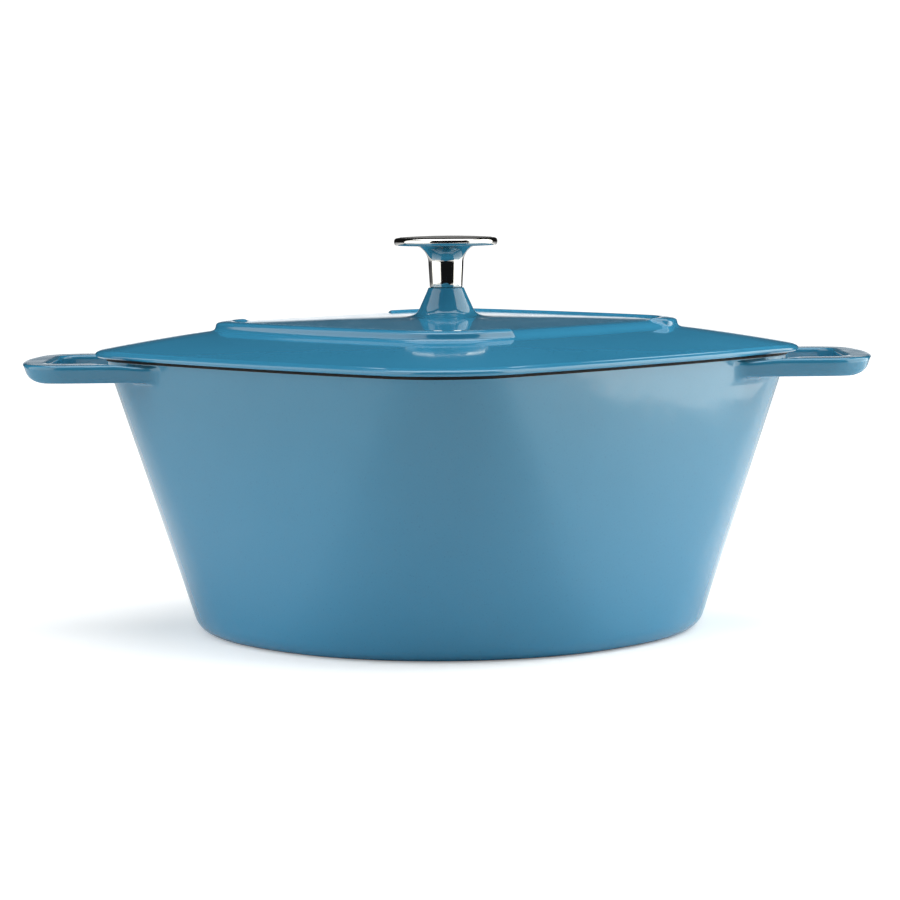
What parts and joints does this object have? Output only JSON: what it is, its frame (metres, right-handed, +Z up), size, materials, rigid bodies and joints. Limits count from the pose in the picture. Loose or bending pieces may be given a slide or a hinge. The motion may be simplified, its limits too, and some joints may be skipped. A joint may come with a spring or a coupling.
{
  "type": "lidded casserole",
  "caption": "Enamelled cast iron casserole with a round base, flared square-cornered rim, loop handles and a lift-off lid with a metal knob.",
  "frame": {"origin": "centre of the base, on the surface that the pot stands on", "axes": "+Z up and along the lid's lift; +X and -X towards the two handles; +Y and -Y towards the two free corners"},
  "size_m": [0.371, 0.3092, 0.1716],
  "materials": {
    "enamel": "gloss",
    "polished_steel": "polished",
    "zinc_steel": "satin"
  },
  "bodies": {
    "pot": {"pot_body": "enamel"},
    "lid_assembly": {"lid": "enamel", "knob": "polished_steel", "knob_screw": "zinc_steel", "lock_washer": "zinc_steel", "flat_washer": "zinc_steel"}
  },
  "joints": [
    {"name": "lid_lift", "type": "slide", "parent": "pot", "child": "lid_assembly", "axis": [0, 0, 1], "range_m": [0, 0.15]}
  ]
}
